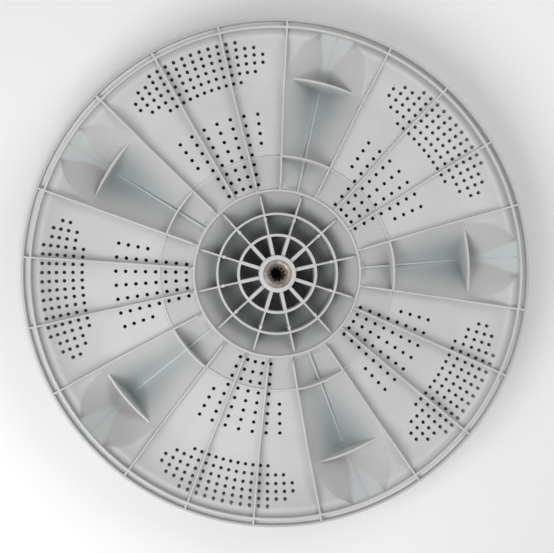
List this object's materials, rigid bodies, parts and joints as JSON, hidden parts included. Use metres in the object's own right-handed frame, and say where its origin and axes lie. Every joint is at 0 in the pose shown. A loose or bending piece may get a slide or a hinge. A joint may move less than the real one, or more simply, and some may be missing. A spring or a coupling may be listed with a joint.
{
  "type": "washing machine pulsator",
  "caption": "Low agitator disc for a top-loading washing machine: hollow vanes, perforated panels, a ribbed underside and a splined metal hub insert.",
  "frame": {"origin": "on the spline's axis, in the plane of the vane tips that the disc lies on", "axes": "+Z along the spline's axis, out of the mouth of the hub on the ribbed underside; +X is 4 degrees short of the first vane"},
  "size_m": [0.34, 0.34, 0.05],
  "materials": {
    "moulding": "satin moulded polypropylene",
    "insert": "die-cast, lightly tarnished"
  },
  "bodies": {
    "root": {"pulsator_disc": "moulding", "spline_insert": "insert"}
  },
  "joints": []
}
